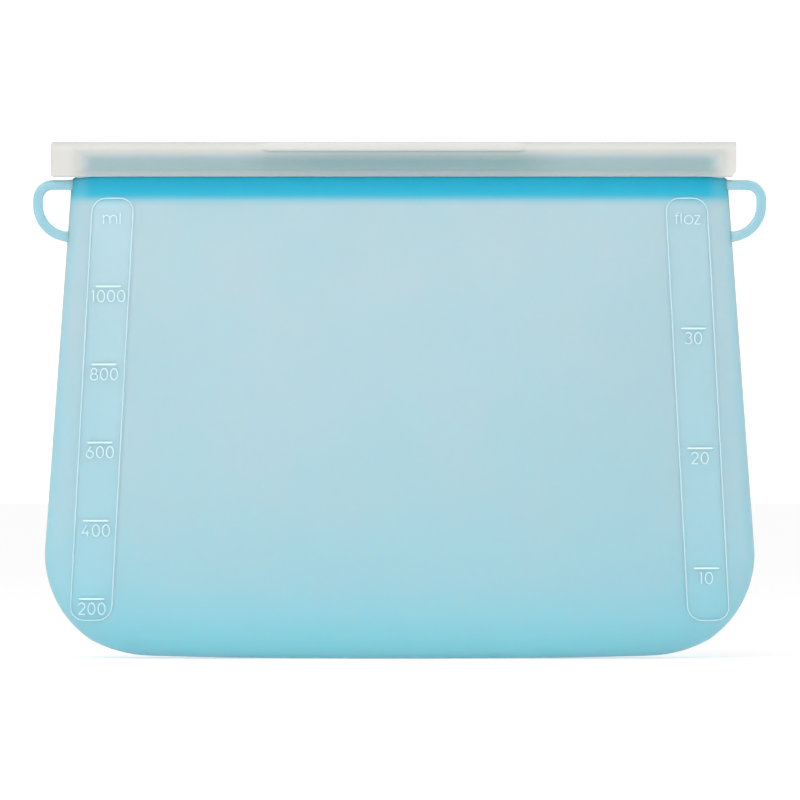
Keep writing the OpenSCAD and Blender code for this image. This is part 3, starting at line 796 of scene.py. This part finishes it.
def bar_half_profile(grip):
    """Right half of the bar's section as [y, z]: the outside from the slot round to the top, and the inside
    from the top of the cavity back to the slot. grip is how much of the ledge there is."""
    quarter = np.linspace(0, math.pi / 2, 11)
    r = BAR_FOOT_ROUND
    foot = [(BAR_Y - r + r * math.sin(a), BAR_Z0 + r * (1 - math.cos(a))) for a in quarter[::2]]
    ledge_z = BAR_Z1 - LEDGE_H
    side = [(BAR_Y, z) for z in np.linspace(BAR_Z0 + 2 * BAR_FOOT_ROUND, BAR_Z1 - BAR_ROUND - 0.0008, 9)]
    body = [(BAR_Y - BAR_ROUND + BAR_ROUND * math.cos(a), BAR_Z1 - BAR_ROUND + BAR_ROUND * math.sin(a))
            for a in quarter]
    out, edge = BAR_Y + LEDGE_OUT, LEDGE_EDGE
    gripped = [(BAR_Y, ledge_z - 0.0003), (BAR_Y + 0.0002, ledge_z), (out - edge * 0.7, ledge_z),
               (out - edge * 0.1, ledge_z + edge * 0.5), (out, ledge_z + edge * 1.4),
               (out, BAR_Z1 - edge * 1.4), (out - edge * 0.3, BAR_Z1 - edge * 0.4),
               (out - edge * 1.3, BAR_Z1), (BAR_Y - 0.0010, BAR_Z1), (BAR_Y - 0.0020, BAR_Z1),
               (body[-1][0], BAR_Z1)]
    top = [(b[0] + (g[0] - b[0]) * grip, b[1] + (g[1] - b[1]) * grip) for b, g in zip(body, gripped)]
    outside = [(SLOT_Y + SLOT_CHAMFER, BAR_Z0), *foot, *side, *top, (body[-1][0] * 0.5, BAR_Z1)]
    r = CAVITY_ROUND
    inside = [(CAVITY_Y - r + r * math.sin(a), CAVITY_Z1 - r + r * math.cos(a)) for a in quarter[::2]]
    inside += [(CAVITY_Y, z) for z in np.linspace(CAVITY_Z1 - r - 0.0004, CAVITY_Z0, 7)]
    inside += [(SLOT_Y, CAVITY_Z0), (SLOT_Y, BAR_Z0 + SLOT_CHAMFER)]
    return outside, inside


def lofted_bar(name, profile_at, stations):
    """A closed loft of profiles that all have as many points; profile_at(x) gives points [y, z]."""
    sections = [profile_at(x) for x in stations]
    n = len(sections[0])
    points = [(x, y, z) for x, section in zip(stations, sections) for y, z in section]
    faces = []
    for i in range(len(stations) - 1):
        for j in range(n):
            a, b = i * n + j, i * n + (j + 1) % n
            faces.append((a, b, b + n, a + n))
    faces += [list(range(n))[::-1], list(range((len(stations) - 1) * n, len(stations) * n))]
    mesh = bpy.data.meshes.new(name)
    mesh.from_pydata(points, [], faces)
    piece = bpy.data.objects.new(name, mesh)
    bpy.context.collection.objects.link(piece)
    turn_outwards(piece)
    return piece


def channel_section(x):
    """Whole section of the open channel at x, as one ring of points."""
    up = min(x - LEDGE_X0, LEDGE_X1 - x) / LEDGE_RAMP
    outside, inside = bar_half_profile(float(smooth(np.float64(up))))
    near_end = np.clip(1 - (x - BAR_X0) / BAR_END_ROUND, 0, 1)
    shrink = BAR_END_ROUND * (1 - math.sqrt(1 - near_end**2))
    foot = BAR_Z0 + LEAD_IN_H * np.clip((x - (BAR_X1 - LEAD_IN)) / LEAD_IN, 0, 1)
    half = [(y, max(z, foot)) for y, z in reversed(inside)]
    half += [(max(y - shrink, SLOT_Y + SLOT_CHAMFER), min(max(z, foot + shrink), BAR_Z1 - shrink))
             for y, z in outside]
    mirrored = [(-y, z) for y, z in reversed(half)]
    return [*half, (0.0, BAR_Z1 - shrink), *mirrored, (0.0, CAVITY_Z1)]


def bar_finish():
    n = Nodes("frosted_white_plastic")
    frosting = n.add("ShaderNodeGroup", node_tree=grain)
    clouds = n.remap(frosting.outputs["Cloudiness"], 0.3, 0.7)
    hollow = n.mix(clouds, (0.565, 0.635, 0.635, 1), (0.59, 0.655, 0.65, 1))
    dense = n.mix(clouds, (0.605, 0.60, 0.575, 1), (0.63, 0.625, 0.60, 1))
    solid = n.attribute("solid")
    colour = n.mix(n.remap(solid, 0.0, 0.6), hollow, dense)
    # Painted shade: the bar's colour is darkened below the ledge, where the ledge shades it
    n.join(n.mix(n.attribute("shaded"), colour, (0.43, 0.50, 0.50, 1)), n.shader.inputs["Base Color"])
    rough = n.remap(frosting.outputs["Cloudiness"], 0.2, 0.8, 0.42, 0.52)
    n.join(rough, n.shader.inputs["Roughness"])
    specks = n.remap(frosting.outputs["Height"], 0.25, 0.75, -0.03, 0.03)
    cover = n.remap(solid, 0.0, 1.0, 0.37, 0.84)
    share = n.remap(n.attribute("inner"), 0.0, 1.0, 1.0, 0.25)
    n.join(n.math("ADD", n.math("MULTIPLY", cover, share), specks), n.shader.inputs["Alpha"])
    height = frosting.outputs["Height"]
    bump = n.add("ShaderNodeBump", {"Strength": 0.15, "Distance": 0.0001, "Height": height})
    n.join(bump.outputs["Normal"], n.shader.inputs["Normal"])
    n.shader.inputs["IOR"].default_value = 1.49
    n.shader.inputs["Specular IOR Level"].default_value = 0.35
    return n.material


def mark_solid_plastic(piece):
    """Keeps where the plastic shows denser, what the ledge shades, and which points are in the cavity."""
    x, y, z = np.array([v.co for v in piece.data.vertices]).T
    top = SOLID_TOP * smooth((z - (CAVITY_Z1 - SOLID_TOP_DROP)) / SOLID_TOP_FADE)
    left = smooth((BAR_X0 + SOLID_LEFT - x) / SOLID_LEFT_FADE)
    right = smooth((x - (BAR_X1 - SOLID_RIGHT)) / SOLID_RIGHT_FADE)
    solid = piece.data.attributes.new("solid", "FLOAT", "POINT")
    solid.data.foreach_set("value", np.maximum(np.maximum(top, left), right).astype(np.float32))
    within = (np.abs(y) < CAVITY_Y + 0.00001) & (z > BAR_Z0 + 0.0001) & (z < CAVITY_Z1 + 0.00001)
    under = smooth((BAR_Z1 - LEDGE_H + 0.0003 - z) / 0.0006)
    under = under * (1 - SHADE_LOSS * smooth((BAR_Z1 - SHADE_DROP - z) / SHADE_FADE))
    along = smooth((x - LEDGE_X0 + SHADE_BEFORE) / 0.020) * smooth((LEDGE_X1 + SHADE_AFTER - x) / 0.024)
    shaded = piece.data.attributes.new("shaded", "FLOAT", "POINT")
    shaded.data.foreach_set("value", (under * along).astype(np.float32))
    inner = piece.data.attributes.new("inner", "FLOAT", "POINT")
    inner.data.foreach_set("value", within.astype(np.float32))


bar_plastic = bar_finish()
near = [BAR_X0 + BAR_END_ROUND * (1 - math.cos(a)) for a in np.linspace(0, math.pi / 2, 7)]
near += list(np.linspace(BAR_X0 + 0.0030, BAR_X0 + 0.0200, 15))
ramp_in = list(np.linspace(LEDGE_X0, LEDGE_X0 + LEDGE_RAMP, 13))
ramp_out = list(np.linspace(LEDGE_X1 - LEDGE_RAMP, LEDGE_X1, 13))
before = list(np.linspace(LEDGE_X0 - SHADE_BEFORE, LEDGE_X0 - 0.002, 4))
after = list(np.linspace(LEDGE_X1 + 0.002, LEDGE_X1 + SHADE_AFTER, 7))
lead_in = list(np.linspace(BAR_X1 - 0.0125, BAR_X1 - 0.0025, 10))
lead_in += list(np.linspace(BAR_X1 - LEAD_IN, BAR_X1, 4))
gripped = before + ramp_in + [-0.02, 0.01] + ramp_out + after
channel = lofted_bar("seal_bar_shell", channel_section, near + [-0.09, -0.06] + gripped + [0.08] + lead_in)
STOP_GAP = 0.00005
STOP_Y, STOP_Z = CAVITY_Y - STOP_GAP, CAVITY_Z1 - STOP_GAP


def stop_section(x):
    """Section of the end stop, the same at every x: a plug for the slot and the cavity."""
    half = [(SLOT_Y - STOP_GAP, BAR_Z0 + 0.001), (SLOT_Y - STOP_GAP, CAVITY_Z0 + STOP_GAP),
            (STOP_Y, CAVITY_Z0 + STOP_GAP), (STOP_Y, STOP_Z)]
    return half + [(-y, z) for y, z in reversed(half)]


stop_stations = [BAR_X0 + STOP_GAP, stop_box[1].x - 0.0004, stop_box[1].x]
stop = lofted_bar("seal_bar_stop", stop_section, stop_stations)
for piece, nodes in ((channel, ("seal_bar_channel", "seal_bar_grip_ledges")),
                     (stop, ("seal_bar_end_stop",))):
    piece.data.shade_smooth()
    piece.data.set_sharp_from_angle(angle=math.radians(40))
    piece.data.materials.append(bar_plastic)
    mark_solid_plastic(piece)
    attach(piece, "seal_bar")
    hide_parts(*nodes)


# Studio
# A flat pale paper floor in an evenly lit white room, three broad soft lights, and a camera level with the
# middle of the object, square to its front.

CAMERA_X = 0.0001
CAMERA_Y = -6.0
CAMERA_Z = 0.086
VIEW_WIDTH = 0.26667
SENSOR_W = 36
FLOOR_R = 9.0

turn = np.linspace(0, 2 * math.pi, 97)[:-1]
mesh = bpy.data.meshes.new("studio_floor")
mesh.from_pydata([(FLOOR_R * math.cos(a), FLOOR_R * math.sin(a), 0) for a in turn], [], [list(range(96))])
floor = bpy.data.objects.new("studio_floor", mesh)
bpy.context.collection.objects.link(floor)
paper = Nodes("pale_paper")
paper.shader.inputs["Base Color"].default_value = (0.62, 0.62, 0.62, 1)
paper.shader.inputs["Roughness"].default_value = 0.9
paper.shader.inputs["Specular IOR Level"].default_value = 0.0
paper.shader.inputs["Emission Color"].default_value = (1, 1, 1, 1)
paper.shader.inputs["Emission Strength"].default_value = 0.42
mesh.materials.append(paper.material)

world = bpy.data.worlds.new("soft_white_room")
world.use_nodes = True
sky = world.node_tree
rise = sky.nodes.new("ShaderNodeSeparateXYZ")
fade = sky.nodes.new("ShaderNodeMapRange")
fade.inputs["From Max"].default_value = 0.8
fade.inputs["To Min"].default_value = 1.18
fade.inputs["To Max"].default_value = 0.80
sky.links.new(sky.nodes.new("ShaderNodeTexCoord").outputs["Generated"], rise.inputs["Vector"])
sky.links.new(rise.outputs["Z"], fade.inputs["Value"])
sky.links.new(fade.outputs["Result"], sky.nodes["Background"].inputs["Strength"])
sky.nodes["Background"].inputs["Color"].default_value = (1, 1, 1, 1)
bpy.context.scene.world = world


def soft_light(name, place, aim, size, power):
    lamp = bpy.data.lights.new(name, "AREA")
    lamp.shape = "RECTANGLE"
    lamp.size, lamp.size_y = size
    lamp.energy = power
    light = bpy.data.objects.new(name, lamp)
    light.location = place
    light.rotation_euler = (Vector(aim) - Vector(place)).to_track_quat("-Z", "Y").to_euler()
    light.visible_camera = False
    bpy.context.collection.objects.link(light)


soft_light("key", (-0.45, -1.6, 1.0), (0, 0, 0.09), (1.2, 1.2), 16)
soft_light("top", (0.1, 0.3, 1.8), (0, 0, 0.1), (1.6, 1.0), 1.5)
soft_light("side", (1.5, -0.3, 0.3), (0.1, 0, 0.09), (0.8, 0.8), 1.2)

lens = bpy.data.cameras.new("camera")
lens.sensor_width = SENSOR_W
lens.lens = SENSOR_W * abs(CAMERA_Y) / VIEW_WIDTH
lens.clip_end = 30
camera = bpy.data.objects.new("camera", lens)
camera.location = (CAMERA_X, CAMERA_Y, CAMERA_Z)
camera.rotation_euler = (math.pi / 2, 0, 0)
bpy.context.collection.objects.link(camera)
bpy.context.scene.camera = camera
bpy.context.scene.view_settings.view_transform = "Standard"
